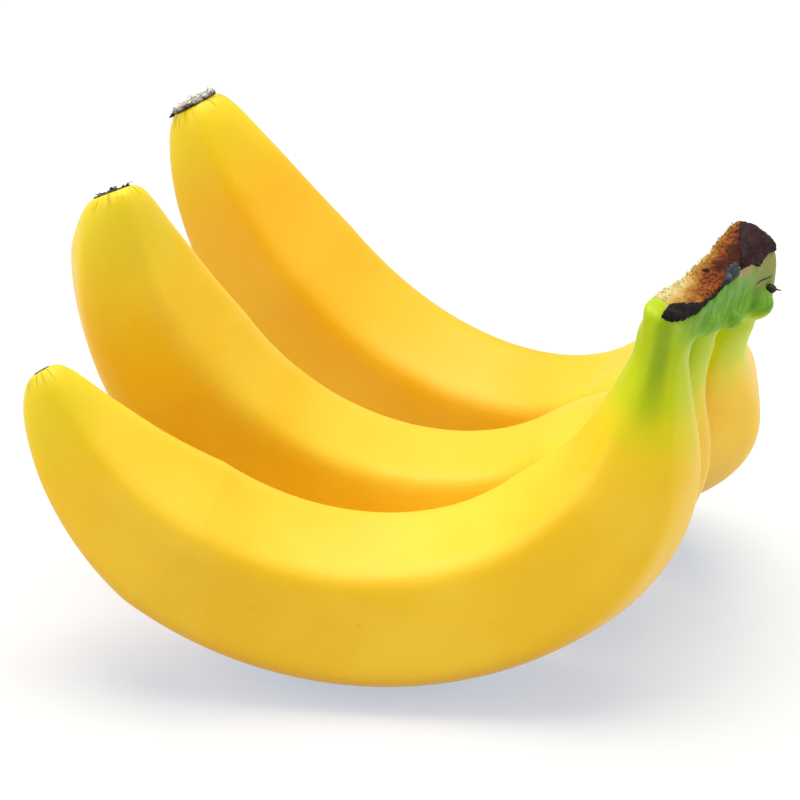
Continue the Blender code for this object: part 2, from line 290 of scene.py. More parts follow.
def crown_rings():
    """Rings from the seat on the necks up to the ridge along the crown's top."""
    turn = full_turn(CROWN_FACETS)
    cosine = np.sign(np.cos(turn)) * np.abs(np.cos(turn)) ** (2 / CROWN_ROUNDNESS)
    sine = np.sign(np.sin(turn)) * np.abs(np.sin(turn)) ** (2 / CROWN_ROUNDNESS)
    rings = []
    for level in np.linspace(-0.06, 0.97, CROWN_RINGS) * math.pi / 2:
        lean = math.cos(level)
        rise = max(math.sin(level), 0.0)
        half = (CROWN_END - CROWN_START) / 2
        row = CROWN_START + half + half * cosine * lean ** np.where(cosine > 0, 0.42, 0.22)
        middle, outer, inner, top, tilt, square = crown_section(row)
        foot = 1 - CROWN_FOOT * smooth((row - 22.0) / 12.0) * smooth(1 - level / 0.8)
        out = middle + sine * np.where(sine > 0, outer * foot, inner) * lean ** (2 / square)
        seat = SEAT_HEIGHT + SEAT_SLOPE * row
        height = seat + (top + tilt * out - seat) * rise ** (2 / square) + min(level, 0.0) * 12.0
        rings.append(crown_place(row, out, height))
    return np.array(rings)


def ball_rings(place, radii):
    """Rings of an egg-shaped swelling on the crown's own axes."""
    around = full_turn(40)
    rings = []
    for level in np.linspace(0.03, 0.97, 24) * math.pi:
        row = place[0] + radii[0] * math.sin(level) * np.cos(around)
        out = place[1] + radii[1] * math.sin(level) * np.sin(around)
        height = place[2] - radii[2] * math.cos(level)
        rings.append(crown_place(row, out, np.full_like(row, height)))
    return np.array(rings)


def loft(rings):
    """Return the points and faces of a closed body through rings, fanned to a point at each end."""
    count, around = rings.shape[:2]
    points = list(rings.reshape(-1, 3))
    faces = []
    for row in range(count - 1):
        for column in range(around):
            after = (column + 1) % around
            faces.append((row * around + column, row * around + after,
                          (row + 1) * around + after, (row + 1) * around + column))
    for row in (0, count - 1):
        points.append(rings[row].mean(0))
        for column in range(around):
            faces.append((row * around + column, row * around + (column + 1) % around,
                          len(points) - 1))
    return points, faces


def mesh_object(name, points, faces):
    """Make an object from points in millimetres in the CAD frame, with its faces turned out."""
    mesh = bpy.data.meshes.new(name)
    mesh.from_pydata([tuple(point * METRE) for point in points], [], faces)
    body = bmesh.new()
    body.from_mesh(mesh)
    bmesh.ops.recalc_face_normals(body, faces=body.faces)
    body.to_mesh(mesh)
    body.free()
    mesh.shade_smooth()
    item = bpy.data.objects.new(name, mesh)
    bpy.context.scene.collection.objects.link(item)
    return item


def gathered(bodies, corners=(), sides=()):
    """The points and faces of several bodies, after some corners and sides, as one list each."""
    corners, sides = list(corners), list(sides)
    for points, faces in bodies:
        start = len(corners)
        corners.extend(points)
        sides.extend(tuple(start + corner for corner in face) for face in faces)
    return corners, sides


def fused(name, bodies, voxel):
    """Join closed bodies into one skin with a voxel remesh."""
    item = mesh_object(name, *gathered(bodies))
    remesh = item.modifiers.new("grown together", "REMESH")
    remesh.mode = "VOXEL"
    remesh.voxel_size = voxel * METRE
    evaluated = item.evaluated_get(bpy.context.evaluated_depsgraph_get())
    mesh = bpy.data.meshes.new_from_object(evaluated)
    item.modifiers.clear()
    item.data = mesh
    mesh.shade_smooth()
    return item


def coordinates(mesh):
    """A mesh's points in millimetres."""
    flat = np.empty(len(mesh.vertices) * 3, np.float32)
    mesh.vertices.foreach_get("co", flat)
    return flat.reshape(-1, 3).astype(float) / METRE


def relaxed(values, edges, weight, rounds):
    """Draw each value towards its neighbours' mean by its weight, round after round."""
    count = len(values)
    ends = np.concatenate([edges[:, 0], edges[:, 1]])
    others = np.concatenate([edges[:, 1], edges[:, 0]])
    many = np.maximum(np.bincount(ends, minlength=count), 1)
    values = values.reshape(count, -1).astype(float)
    for _ in range(rounds):
        mean = np.stack([np.bincount(ends, values[others, axis], count) / many
                         for axis in range(values.shape[1])], 1)
        values = values + weight[:, None] * (mean - values)
    return values


VOXEL = 0.7
SHRINK = 0.8
FILLET_REACH = 4.0
FILLET_ROUNDS = 90

# How far off a fruit is searched for, and what is written where nothing is found
SEARCH = 12.0
FAR = 99.0

# The crown lies beyond these places on X and Z
CROWN_CORNER = (30.0, 60.0)

# Edges are halved above this height, between these places on ROW and this near to the row's middle
FINE_HEIGHT = 76.0
FINE_ROWS = (-9.0, 45.0)
FINE_OUT = 12.0


def halved(mesh, chosen):
    """Halve the edges between chosen points."""
    body = bmesh.new()
    body.from_mesh(mesh)
    body.verts.ensure_lookup_table()
    edges = [edge for edge in body.edges if all(chosen[vert.index] for vert in edge.verts)]
    bmesh.ops.subdivide_edges(body, edges=edges, cuts=1, use_grid_fill=True)
    body.to_mesh(mesh)
    body.free()


def mesh_edges(mesh):
    """The two points of each edge."""
    ends = np.empty(len(mesh.edges) * 2, np.int32)
    mesh.edges.foreach_get("vertices", ends)
    return ends.reshape(-1, 2)


def store(mesh, **values):
    """Keep values of each point for the materials."""
    for name, value in values.items():
        layer = mesh.attributes.new(name, "FLOAT", "POINT")
        layer.data.foreach_set("value", value.astype(np.float32))


def beside_fruits(drawn, lofts):
    """How far off each fruit is from each point, its places along and round it, and its ends."""
    away = np.full((len(drawn), 3), FAR)
    station = np.zeros(away.shape)
    around = np.zeros(away.shape)
    capped = np.zeros(away.shape, bool)
    for index, (fruit, (points, faces)) in enumerate(zip(FRUITS.values(), lofts)):
        tree = BVHTree.FromPolygons([tuple(point) for point in points], faces)
        stations = peel_stations(fruit["length"])
        corners = np.array(points)
        for number, point in enumerate(drawn):
            spot, _, face, distance = tree.find_nearest(point, SEARCH)
            if spot is None:
                continue
            away[number, index] = distance
            ring, column = divmod(face, PEEL_FACETS)
            if ring >= PEEL_RINGS - 1:
                capped[number, index] = True
                station[number, index] = 0.0 if ring == PEEL_RINGS - 1 else fruit["length"]
                continue
            first = corners[ring * PEEL_FACETS + column]
            side = corners[ring * PEEL_FACETS + (column + 1) % PEEL_FACETS] - first
            onward = corners[(ring + 1) * PEEL_FACETS + column] - first
            offset = np.array(spot) - first
            share = np.clip(offset @ side / (side @ side), 0, 1)
            step = np.clip(offset @ onward / (onward @ onward), 0, 1)
            around[number, index] = (column + share) * math.tau / PEEL_FACETS
            station[number, index] = stations[ring] + step * (stations[ring + 1] - stations[ring])
    return away, station, around, capped


def beside_crown(drawn, lofts):
    """How far off the crown is from each point near it, and how far off its swellings are."""
    near = np.flatnonzero((drawn[:, 0] > CROWN_CORNER[0]) & (drawn[:, 2] > CROWN_CORNER[1]))
    away = np.full(len(drawn), FAR)
    off_swelling = away.copy()
    for index, (points, faces) in enumerate(lofts):
        tree = BVHTree.FromPolygons([tuple(point) for point in points], faces)
        for number in near:
            distance = tree.find_nearest(drawn[number])[3]
            away[number] = min(away[number], distance)
            if index:
                off_swelling[number] = min(off_swelling[number], distance)
    return away, off_swelling


def set_points(mesh, points):
    """Move a mesh's points to places in millimetres."""
    mesh.vertices.foreach_set("co", (points * METRE).astype(np.float32).ravel())
    mesh.update()


def grown_skin():
    """The peels of the three fruits and the crown's skin as one surface, with its attributes."""
    lofts = [loft(peel_rings(fruit, SHRINK)) for fruit in FRUITS.values()]
    crown_lofts = [loft(crown_rings())] + [loft(ball_rings(*ball)) for ball in SWELLINGS]
    item = fused("peel_and_crown_skin", lofts + crown_lofts, VOXEL)
    mesh = item.data
    drawn = coordinates(mesh)
    row, out, height = on_crown(drawn)
    halved(mesh, (height > FINE_HEIGHT) & (row > FINE_ROWS[0]) & (row < FINE_ROWS[1])
           & (np.abs(out) < FINE_OUT))
    drawn = coordinates(mesh)
    edges = mesh_edges(mesh)

    # which body each point belongs to: fruit 0, 1 or 2, or the crown as 3
    count = len(drawn)
    away, station, around, capped = beside_fruits(drawn, lofts)
    off_crown, off_swelling = beside_crown(drawn, crown_lofts)
    away = np.column_stack([away, off_crown])
    owner = away.argmin(1)
    neck = away[:, :3].argmin(1)

    # each peel point moves on to its fruit's true surface
    points = drawn.copy()
    along = np.zeros(count)
    turn = np.take_along_axis(around, neck[:, None], 1)[:, 0]
    to_tip = np.full(count, 200.0)
    for index, fruit in enumerate(FRUITS.values()):
        own = np.flatnonzero((owner == index) & ~capped[:, index])
        points[own] = peel_points(fruit, station[own, index], around[own, index])
        along[owner == index] = station[owner == index, index]
        to_tip[owner == index] = fruit["length"] - along[owner == index]

    # fillets where the necks grow into the crown, which spare its swellings
    next_one = np.sort(away, 1)[:, 1]
    near_crown = away[:, 3] < 9.0
    weight = np.where(near_crown, smooth(1.2 - next_one / FILLET_REACH), 0.0) * 0.6
    weight = np.maximum(weight, np.where(owner == 3, 0.12, 0.0))
    weight = weight * (0.05 + 0.95 * smooth(off_swelling / 1.3))
    points = relaxed(points, edges, weight, FILLET_ROUNDS)

    row, out, height = on_crown(points)
    reach_down = np.interp(row, (20.0, 26.0), (5.0, 1.0))
    above_seat = height - SEAT_HEIGHT - SEAT_SLOPE * row
    crown = smooth((above_seat + reach_down) / (reach_down + 2.0)) * (away[:, 3] < 8.0)
    crown = crown * smooth((place_on_x(row, out) - 54.5) / 9.0)
    final = placed(points)
    final[:, 2] = np.maximum(final[:, 2], 0.0)
    set_points(mesh, final)

    # low relief: flow lines that climb the crown towards its rear end
    climb = np.stack([(row + height) * 0.12, (height - row) * 0.9, out * 0.5], 1)
    relief = crown * 0.05 * grain(climb, 1.0, 1)
    normals = np.empty(count * 3, np.float32)
    mesh.vertex_normals.foreach_get("vector", normals)
    set_points(mesh, final + relief[:, None] * normals.reshape(-1, 3))

    # the necks' greener bands, partly their own green and partly painted shade, and the fruit that
    # each point is nearest
    fruit_number = relaxed(np.where(owner == 3, neck, owner), edges, np.full(count, 0.5), 6)[:, 0]
    groove = (0.5 - 0.5 * np.cos(RIBS * turn)) * smooth((np.cos(turn + math.pi / RIBS) - 0.5) / 0.4)
    groove = relaxed(groove, edges, np.full(count, 0.5), 8)[:, 0]
    store(mesh, fruit=fruit_number, along=along, to_tip=to_tip, crown=crown, groove=groove,
          round_x=np.cos(turn), round_y=np.sin(turn), row=row, out=out, height=height,
          climb=grain(climb, 1.0, 2))
    return item


# Pieces that lie on the crown's skin

def skin_piece(skin, name, chosen, raised, upward=0.0, depth=0.8, strands=None):
    """A closed piece over chosen points of the skin, raised by a formula and sunk into it."""
    body = bmesh.new()
    body.from_mesh(skin.data)
    body.verts.ensure_lookup_table()
    row, out, height = on_crown(as_drawn(coordinates(skin.data)))
    keep = chosen(row, out, height)
    left_out = [vert for vert in body.verts if not keep[vert.index]]
    bmesh.ops.delete(body, geom=left_out, context="VERTS")
    bmesh.ops.subdivide_edges(body, edges=body.edges[:], cuts=1, use_grid_fill=True)
    body.verts.index_update()
    body.normal_update()
    points = np.array([vert.co for vert in body.verts]) / METRE
    normals = np.array([vert.normal for vert in body.verts])
    faces = [tuple(vert.index for vert in face.verts) for face in body.faces]
    rims = [(loop.vert.index, loop.link_loop_next.vert.index) for face in body.faces
            for loop in face.loops if loop.edge.is_boundary]
    edges = np.array([[vert.index for vert in edge.verts] for edge in body.edges])
    body.free()

    count = len(points)
    rim = np.zeros(count)
    rim[[corner for pair in rims for corner in pair]] = 1.0
    smoothed = relaxed(points, edges, 0.5 * rim, 3)
    inside = smooth(1.25 - 1.6 * relaxed(rim, edges, 0.6 * (1 - rim), 5)[:, 0])
    ways = normals * (1 - upward) + np.array([0.0, 0.0, upward])
    ways /= np.linalg.norm(ways, axis=1)[:, None]
    drawn = as_drawn(smoothed)
    row, out, height = on_crown(drawn)
    top = smoothed + ways * (raised(row, out, height, drawn) * inside)[:, None]
    under = smoothed - ways * depth
    corners = list(top) + list(under)
    sides = faces + [tuple(count + corner for corner in reversed(face)) for face in faces]
    sides += [(second, first, count + first, count + second) for first, second in rims]
    loose = strands(as_drawn(top), ways) if strands else ()
    item = mesh_object(name, *gathered([(placed(points), more) for points, more in loose],
                                       corners, sides))
    row, out, height = on_crown(as_drawn(coordinates(item.data)))
    store(item.data, row=row, out=out, height=height)
    return item


def place_on_x(row, out):
    """X at places on ROW and OUT."""
    return ROW_START[0] + row * ROW[0] + out * OUT[0]


def edge_shift(row, out, amount, seed):
    """How far a torn edge wanders at a place."""
    return amount * grain(np.stack([row, out, np.zeros_like(row)], 1), 1.3, seed)


# Places on ROW and OUT of the pith's dark hole and of its crack, and how many strands stand up
PITH_HOLE = (16.0, 0.5)
PITH_CRACK = (23.2, 1.4)
LOOSE_FIBRES = 360


def on_the_pith(row, out, height):
    """Inside the rim of the cut, up to the cap."""
    top = cut_top(row, out)
    rim = crown_reach(row)[0]
    wander = edge_shift(row, out, 0.5, 3)
    front = -0.6 - 5.4 * smooth((out + 0.5) / 2.5)
    in_rim = np.interp(row, (0.0, 8.0), (1.8, 0.7))
    return ((row > front + wander) & (height > top - 1.6) & (out < rim - in_rim)
            & (place_on_x(row, out) < CAP_START + 1.2 + wander))


def pith_rise(row, out, height, drawn):
    """A fibrous bank that climbs from the rim to the ridge, with pits and loose strands."""
    rim, ridge = crown_reach(row)
    across = (rim - out) / (rim - ridge)
    bank = 0.1 + 0.75 * smooth(across / 0.7) - 0.8 * smooth((across - 0.86) / 0.14)
    bank = bank * np.interp(row, (-5.0, 5.0), (0.3, 1.0))
    strands = grain(np.stack([row * 1.8, out * 0.5, height * 0.5], 1), 1.0, 5)
    fine = grain(np.stack([row * 4.5, out * 1.3, height * 1.3], 1), 1.0, 6)
    lumps = grain(np.stack([row, out, height], 1), 3.0, 7)
    hole = np.exp(-((row - PITH_HOLE[0]) / 0.8) ** 2 - ((out - PITH_HOLE[1]) / 0.9) ** 2)
    crack = np.exp(-((row - PITH_CRACK[0]) / 0.5) ** 2 - ((out - PITH_CRACK[1]) / 1.6) ** 2)
    rough = 0.26 * strands + 0.2 * fine + 0.3 * lumps
    return bank + rough * np.interp(row, (-5.0, 5.0), (0.5, 1.0)) - 0.7 * hole - 0.7 * crack


def loose_fibres(corners, ways):
    """Fine torn strands that stand up along the pith's ridge."""
    row, out, _ = on_crown(corners)
    rim, ridge = crown_reach(row)
    share = (rim - out) / (rim - ridge)
    roots = np.flatnonzero((share > 0.62) & (share < 1.05))
    draw = random.Random(11)
    strands = []
    for _ in range(LOOSE_FIBRES):
        root = draw.choice(list(roots))
        length = draw.uniform(0.25, 0.7) * (2.0 if draw.random() < 0.08 else 1.0)
        lean = crown_place(draw.gauss(0.0, 0.5), -draw.uniform(0.2, 1.0), 0.8)
        lean = unit(lean - crown_place(0, 0, 0))
        bent = lean + np.array([draw.gauss(0, 0.35), draw.gauss(0, 0.35), 0.0])
        rings = []
        for step, radius in ((-0.3, 0.10), (0.5, 0.07), (1.0, 0.02)):
            centre = corners[root] + length * step * (lean * (1 - step) + bent * step)
            turn = full_turn(5)
            rings.append(centre + radius * np.stack([np.cos(turn), np.sin(turn), 0 * turn], 1))
        strands.append(loft(np.array(rings)))
    return strands


# The torn rind at places on ROW: how far it reaches over the cut and down the side, and its rise
RIND_ROWS = (-6.5, -4.5, -2.5, 0.0, 3.0, 5.5, 9.0, 12.0, 16.0, 19.0, 22.0, 25.0)
RIND_OVER = (1.6, 3.2, 4.0, 3.8, 2.6, 1.4, 1.1, 1.0, 1.3, 2.3, 2.5, 1.2)
RIND_DOWN = (1.0, 1.3, 1.3, 1.2, 1.1, 1.0, 1.1, 1.1, 1.4, 2.2, 2.5, 1.2)
RIND_RISE = (0.3, 0.9, 1.2, 1.2, 1.0, 0.7, 0.6, 0.6, 0.6, 0.6, 0.5, 0.3)


def on_the_rind(row, out, height):
    """Along the outer edge of the cut, up to the cap."""
    top = cut_top(row, out)
    wander = edge_shift(row, out, 0.25, 13)
    over = crown_reach(row)[0] - np.interp(row, RIND_ROWS, RIND_OVER)
    return ((row > -6.4) & (row < 25.0) & (out > over + wander)
            & (height > top - np.interp(row, RIND_ROWS, RIND_DOWN) + wander)
            & (place_on_x(row, out) < CAP_START))


def rind_rise(row, out, height, drawn):
    """Crumpled and brittle, thick at the front corner of the cut and thin along its side."""
    return (np.interp(row, RIND_ROWS, RIND_RISE)
            + 0.35 * grain(drawn, 1.1, 15) * np.interp(row, (4.0, 10.0), (1.0, 0.4))
            + 0.2 * np.abs(grain(drawn, 0.55, 16)))


def on_the_cap(row, out, height):
    """The top of the crown's rear end."""
    wander = edge_shift(row, out, 0.4, 23)
    low = 91.2 - 0.15 * np.clip(out, 0.0, 9.0) - np.exp(-((row - 29.0) / 1.6) ** 2) + wander
    return (place_on_x(row, out) > CAP_START + 0.3 * wander) & (height > low)


def cap_rise(row, out, height, drawn):
    """Leathery and puckered, with an edge that lifts."""
    return 0.9 + 0.35 * grain(drawn, 2.4, 25) + 0.2 * grain(drawn, 0.8, 26)


def stub_rings(place, way, levels, count, seed):
    """Rings round a line: each level is a distance along it, a radius and a raggedness."""
    way = unit(way)
    first, second = square_to(way)
    turn = full_turn(count)
    draw = random.Random(seed)
    rings = []
    for distance, radius, rough in levels:
        spread = radius * (1 - rough * np.array([draw.random() for _ in range(count)]))
        rings.append(place + distance * way + (spread * np.cos(turn))[:, None] * first
                     + (spread * np.sin(turn))[:, None] * second)
    return np.array(rings)


def joined(name, lofts):
    """One object of several closed bodies in the drawn bunch."""
    return mesh_object(name, *gathered([(placed(points), faces) for points, faces in lofts]))


STUB_PLACE = (35.1, 6.6, 82.3)


def dried_stub():
    """A withered knob with a thin spike."""
    place = crown_place(*[np.float64(value) for value in STUB_PLACE])
    way = crown_place(0.4, 1.0, -0.1) - crown_place(0.0, 0.0, 0.0)
    knob = stub_rings(place, way, ((-0.8, 0.7, 0.1), (-0.2, 1.15, 0.2), (0.5, 1.2, 0.3),
                                   (1.0, 0.95, 0.4), (1.3, 0.4, 0.3)), 18, 31)
    spike = stub_rings(place + 0.2 * way, way + np.array([0.2, 0.0, -0.1]),
                       ((0.2, 0.4, 0.2), (1.2, 0.26, 0.3), (1.9, 0.16, 0.3), (2.3, 0.05, 0.0)),
                       9, 32)
    return joined("dried_flower_stub", [loft(knob), loft(spike)])


# The dried flowers

# Radius and height of the scar, number, length and width of its flakes, and a seed
SCARS = {
    "front": dict(radius=1.7, height=0.2, flakes=9, length=0.5, width=0.7, seed=41),
    "middle": dict(radius=4.0, height=0.3, flakes=18, length=1.8, width=1.1, seed=42),
    "rear": dict(radius=5.1, height=1.2, flakes=80, length=2.3, width=2.2, seed=43),
}

# Half a flake's thickness
FLAKE_THICKNESS = 0.13

# The scar from its rim to its middle: share of its radius, share of its height, and raggedness
SCAR_RINGS = ((0.7, -0.9, 0.0), (1.0, -0.5, 0.05), (1.06, 0.2, 0.1), (0.98, 1.0, 0.2),
              (0.8, 0.9, 0.3), (0.6, 0.4, 0.4), (0.4, 0.5, 0.4), (0.2, 0.7, 0.3))

# The rear scar's dry style, which hangs back along the peel
STYLE_LEVELS = ((-0.5, 0.8, 0.2), (0.8, 0.85, 0.3), (2.2, 0.5, 0.3), (3.2, 0.12, 0.0))


def flake(start, way, outward, length, width, curl):
    """A thin dry scale that bends outwards."""
    across = unit(np.cross(way, outward))
    rings = []
    turn = full_turn(8)
    for step in (0.0, 0.3, 0.6, 0.85, 1.0):
        bend = way * (1 - curl * step) + outward * curl * step
        centre = start + length * step * bend
        half = width / 2 * (1 - step ** 2 * 0.9)
        face = unit(np.cross(across, bend))
        rings.append(centre + half * np.cos(turn)[:, None] * across
                     + FLAKE_THICKNESS * (1 - 0.5 * step) * np.sin(turn)[:, None] * face)
    return np.array(rings)


def dried_flower(name):
    """The crumpled scar on a fruit's tip and the dry flakes round it."""
    fruit = FRUITS[name]
    scar = SCARS[name]
    draw = random.Random(scar["seed"])
    length = fruit["length"]
    end = centre_line(fruit, np.array([length]))[0][0]
    way = unit(fruit["scar_way"])
    first, second = square_to(way)
    radius, height = scar["radius"], scar["height"]
    rings = []
    turn = full_turn(60)
    for spread, rise, rough in SCAR_RINGS:
        places = end + (radius * spread * np.cos(turn))[:, None] * first
        places = places + (radius * spread * np.sin(turn))[:, None] * second
        lumps = grain(places, 0.9, scar["seed"]) * 0.8 + grain(places, 0.4, scar["seed"]) * 0.4
        places = places + (height * rise + rough * 2.0 * height * lumps)[:, None] * way
        rings.append(places + (0.25 * rough * lumps * radius)[:, None] * (places - end) / radius)
    bodies = [loft(np.array(rings))]
    for _ in range(scar["flakes"]):
        angle = draw.uniform(0, math.tau)
        share = draw.uniform(0.35, 1.0) ** 0.5
        outward = math.cos(angle) * first + math.sin(angle) * second
        start = end + radius * share * outward + (height * 0.3 - 0.1) * way
        lean = way + outward * draw.uniform(-0.6, 0.9)
        lean = unit(lean + 0.4 * draw.gauss(0, 1) * np.cross(way, outward))
        bodies.append(loft(flake(start, lean, outward, scar["length"] * draw.uniform(0.5, 1.1),
                                 scar["width"] * draw.uniform(0.6, 1.2), draw.uniform(0.2, 0.9))))
    if name == "rear":
        outward = np.array([-1.0, 0.0, -0.45])
        outward -= (outward @ way) * way
        place = end + 0.7 * radius * outward + 0.4 * way
        bodies.append(loft(stub_rings(place, outward - 0.25 * way, STYLE_LEVELS, 12, scar["seed"])))
    item = joined("dried_flower_" + name, bodies)
    above = (as_drawn(coordinates(item.data)) - end) @ way / max(scar["length"], height)
    if name == "rear":
        above[-len(bodies[-1][0]):] = -0.6
    store(item.data, above=above)
    return item


# Materials

def hex_colour(code):
    """An sRGB hex colour as linear RGBA."""
    channels = [int(code[place:place + 2], 16) / 255 for place in (1, 3, 5)]
    return (*[value / 12.92 if value <= 0.04045 else ((value + 0.055) / 1.055) ** 2.4
              for value in channels], 1.0)


# Short names of the nodes used here: type, settings, inputs in the order they are given, and the
# output that is handed on, or None for the node itself
NODES = {
    "shader": ("BsdfPrincipled", {}, ("Base Color", "Roughness", "Specular IOR Level", "Normal"),
               None),
    "surface": ("OutputMaterial", {}, ("Surface",), None),
    "attribute": ("Attribute", {}, (), "Fac"),
    "place": ("TexCoord", {}, (), "Object"),
    "normal": ("TexCoord", {}, (), "Normal"),
    "upward": ("SeparateXYZ", {}, (0,), "Z"),
    "join": ("CombineXYZ", {}, ("X", "Y", "Z"), 0),
    "distance": ("VectorMath", {"operation": "DISTANCE"}, (0, 1), "Value"),
    "share": ("MapRange", {"interpolation_type": "SMOOTHSTEP"},
              ("Value", "From Min", "From Max", "To Min", "To Max"), "Result"),
    "mix": ("Mix", {"data_type": "RGBA"}, (0, 6, 7), 2),
    "ramp": ("ValToRGB", {}, ("Fac",), "Color"),
    "noise": ("TexNoise", {}, ("Vector", "Scale", "Detail", "Roughness"), "Fac"),
    "cells": ("TexVoronoi", {}, ("Vector", "Scale"), "Distance"),
    "bump": ("Bump", {}, ("Height", "Strength", "Distance"), "Normal"),
    **{name: ("Math", {"operation": name.upper()}, (0, 1), 0)
       for name in ("add", "subtract", "multiply", "absolute")},
}


def add_node(tree, name, *inputs, stops=(), **settings):
    """Add a node. An input is a value, a hex colour or an output to link, and a ramp has stops."""
    kind, fixed, sockets, output = NODES[name]
    made = tree.nodes.new("ShaderNode" + kind)
    for setting, value in {**fixed, **settings}.items():
        setattr(made, setting, value)
    for socket, value in zip(sockets, inputs):
        if isinstance(value, bpy.types.NodeSocket):
            tree.links.new(value, made.inputs[socket])
        else:
            value = hex_colour(value) if isinstance(value, str) else value
            made.inputs[socket].default_value = value
    if stops:
        made.color_ramp.interpolation = "EASE"
        elements = made.color_ramp.elements
        while len(elements) < len(stops):
            elements.new(0.5)
        for element, (place, code) in zip(elements, stops):
            element.position = place
            element.color = hex_colour(code)
    return made if output is None else made.outputs[output]


def blank_material(name):
    """An empty material, and add_node for its own nodes."""
    made = bpy.data.materials.new(name)
    made.use_nodes = True
    made.node_tree.nodes.clear()
    return made, partial(add_node, made.node_tree)


def surfaced(node, *inputs):
    """End a material with its shader and its output."""
    shader = node("shader", *inputs)
    node("surface", shader.outputs[0])
    return shader


def per_metre(size):
    """The scale of a pattern whose lumps are size millimetres wide."""
    return 1.0 / (size * METRE)


# The streaks' own places: one fruit radius round the fruit is 1, and 83 mm along it is 1
STREAK_STRETCH = 0.012


def ripe_peel():
    """Ripe banana peel: satin with wax, green at the neck and the crown, with a greenish tip,
    painted highlight above and painted shade below.
    """
    made, node = blank_material("ripe_banana_peel")
    place = node("place")
    along, to_tip, crown, fruit, groove, climb, row, high, round_x, round_y = [
        node("attribute", attribute_name=name)
        for name in ("along", "to_tip", "crown", "fruit", "groove", "climb", "row", "height",
                     "round_x", "round_y")]
    streak_place = node("join", round_x, round_y, node("multiply", along, STREAK_STRETCH))
    streaks = node("noise", streak_place, FRUIT_RADIUS / 8.364, 4.0)
    mottle = node("noise", place, per_metre(22.22), 3.0)

    # two yellows, with deeper streaks along the fruit and a deeper orange on the rear fruit beyond
    # 70 mm along it
    body = node("mix", node("share", mottle, 0.35, 0.65), "#F2C120", "#F5C930")
    body = node("mix", node("share", streaks, 0.4, 0.75, 0.0, 0.12), body, "#E4AA0C")
    rear_fruit_orange = node("multiply", node("share", fruit, 1.2, 1.9),
                 node("share", along, 70.0, 110.0, 0.0, 0.45))
    body = node("mix", rear_fruit_orange, body, "#DC9606")
    # painted highlight: paler yellow on the upward-facing sides, and painted shade: deeper yellow
    # on the downward-facing sides
    facing = node("upward", node("normal"))
    body = node("mix", node("share", facing, 0.25, 0.95, 0.0, 0.22), body, "#F8DC5A")
    # painted shade: deeper yellow where the normal points down, from 40 mm along the fruit
    under = node("multiply", node("share", facing, 0.15, -0.75, 0.0, 0.8),
                 node("share", along, 40.0, 85.0))
    body = node("mix", under, body, "#D0960C")
    # necks from green to yellow, with a darker green band down one face of each neck, partly the
    # neck's own greener colour and partly painted shade of that face, fading from the front fruit
    # to the rear
    neck = node("ramp", node("share", along, 0.0, 42.0), stops=(
        (0.0, "#B0C60C"), (0.3, "#C6D00C"), (0.55, "#E2D014"), (0.8, "#F0CA1C"), (1.0, "#F2C220")))
    deep = node("multiply", node("share", groove, 0.15, 0.95), node("share", along, 27.0, 8.0))
    fading = node("multiply", node("subtract", 1.0, node("multiply", fruit, 0.3)), 0.75)
    # partly painted shade: the darker green band down one face of the necks
    neck = node("mix", node("multiply", deep, fading), neck, "#82A208")
    neck = node("mix", node("share", streaks, 0.35, 0.6, 0.1, 0.0), neck, "#A8B80A")
    skin = node("mix", node("share", along, 22.0, 42.0), neck, body)
    # greenish tips with brown creases
    skin = node("mix", node("share", to_tip, 26.0, 4.0, 0.0, 0.6), skin, "#E2D222")
    crease = node("noise", streak_place, FRUIT_RADIUS / 2.629, 3.0)
    crease = node("multiply", node("share", to_tip, 4.0, 0.6),
                  node("share", crease, 0.5, 0.66, 0.0, 0.6))
    skin = node("mix", crease, skin, "#8A7A24")

    # the crown: green with paler fibres and a grey-green mist high up
    patch = node("noise", place, per_metre(4.545), 4.0, 0.6)
    fibre = node("noise", place, per_metre(1.923), 4.0, 0.6)
    green = node("mix", node("share", climb, -0.3, 0.35), "#5E941C", "#70A428")
    green = node("mix", node("share", fibre, 0.5, 0.7, 0.0, 0.25), green, "#9CC466")
    mist = node("multiply", node("share", climb, -0.3, 0.4, 0.35, 1.0),
                node("share", patch, 0.36, 0.62))
    mist = node("multiply", mist, node("share", high, 82.5, 88.0))
    green = node("mix", node("multiply", mist, 0.72), green, "#86A26A")
    # its olive rear end, its tan dried patch and the crack below the cap
    olive = node("multiply", node("share", row, 25.0, 33.0), node("share", high, 80.5, 86.0))
    olive = node("multiply", olive, node("share", fibre, 0.3, 0.62, 0.55, 1.0))
    green = node("mix", olive, green, "#918E4E")
    tan = node("multiply", node("share", row, 19.0, 24.0), node("share", row, 30.0, 26.0))
    tan = node("multiply", tan, node("share", high, 87.5, 90.5))
    green = node("mix", tan, green, "#B89A6C")
    off_crack = node("absolute", node("subtract", high, node("add", 84.4, patch)))
    crack = node("multiply", node("share", off_crack, 0.28, 0.12),
                 node("share", row, 29.5, 31.0))
    crack = node("multiply", crack, node("share", row, 36.5, 35.5))
    green = node("mix", crack, green, "#33240F")
    skin = node("mix", crown, skin, green)

    # rare specks, half a millimetre wide
    speck = node("cells", place, per_metre(4.762))
    rare = node("noise", place, per_metre(8.333), 1.0)
    dots = node("multiply", node("share", speck, 0.13, 0.07), node("share", rare, 0.62, 0.68))
    skin = node("mix", node("multiply", dots, 0.16), skin, "#A8781A")

    # pores and lines along the fruit about 1.1 mm apart, drawn coarser than real ones to show
    pores = node("noise", place, per_metre(1.111), 2.0)
    lines = node("noise", streak_place, FRUIT_RADIUS / 1.15, 2.0)
    relief = node("add", node("multiply", pores, 0.25), lines)
    relief = node("mix", crown, relief, fibre)
    shader = surfaced(node, skin, node("share", crown, 0.1, 0.9, 0.4, 0.62), 0.2,
                      node("bump", relief, 0.12, 0.6 * METRE))
    shader.inputs["Subsurface Weight"].default_value = 0.12
    shader.inputs["Subsurface Radius"].default_value = (1.0, 0.55, 0.08)
    shader.inputs["Subsurface Scale"].default_value = 3.0 * METRE
    return made


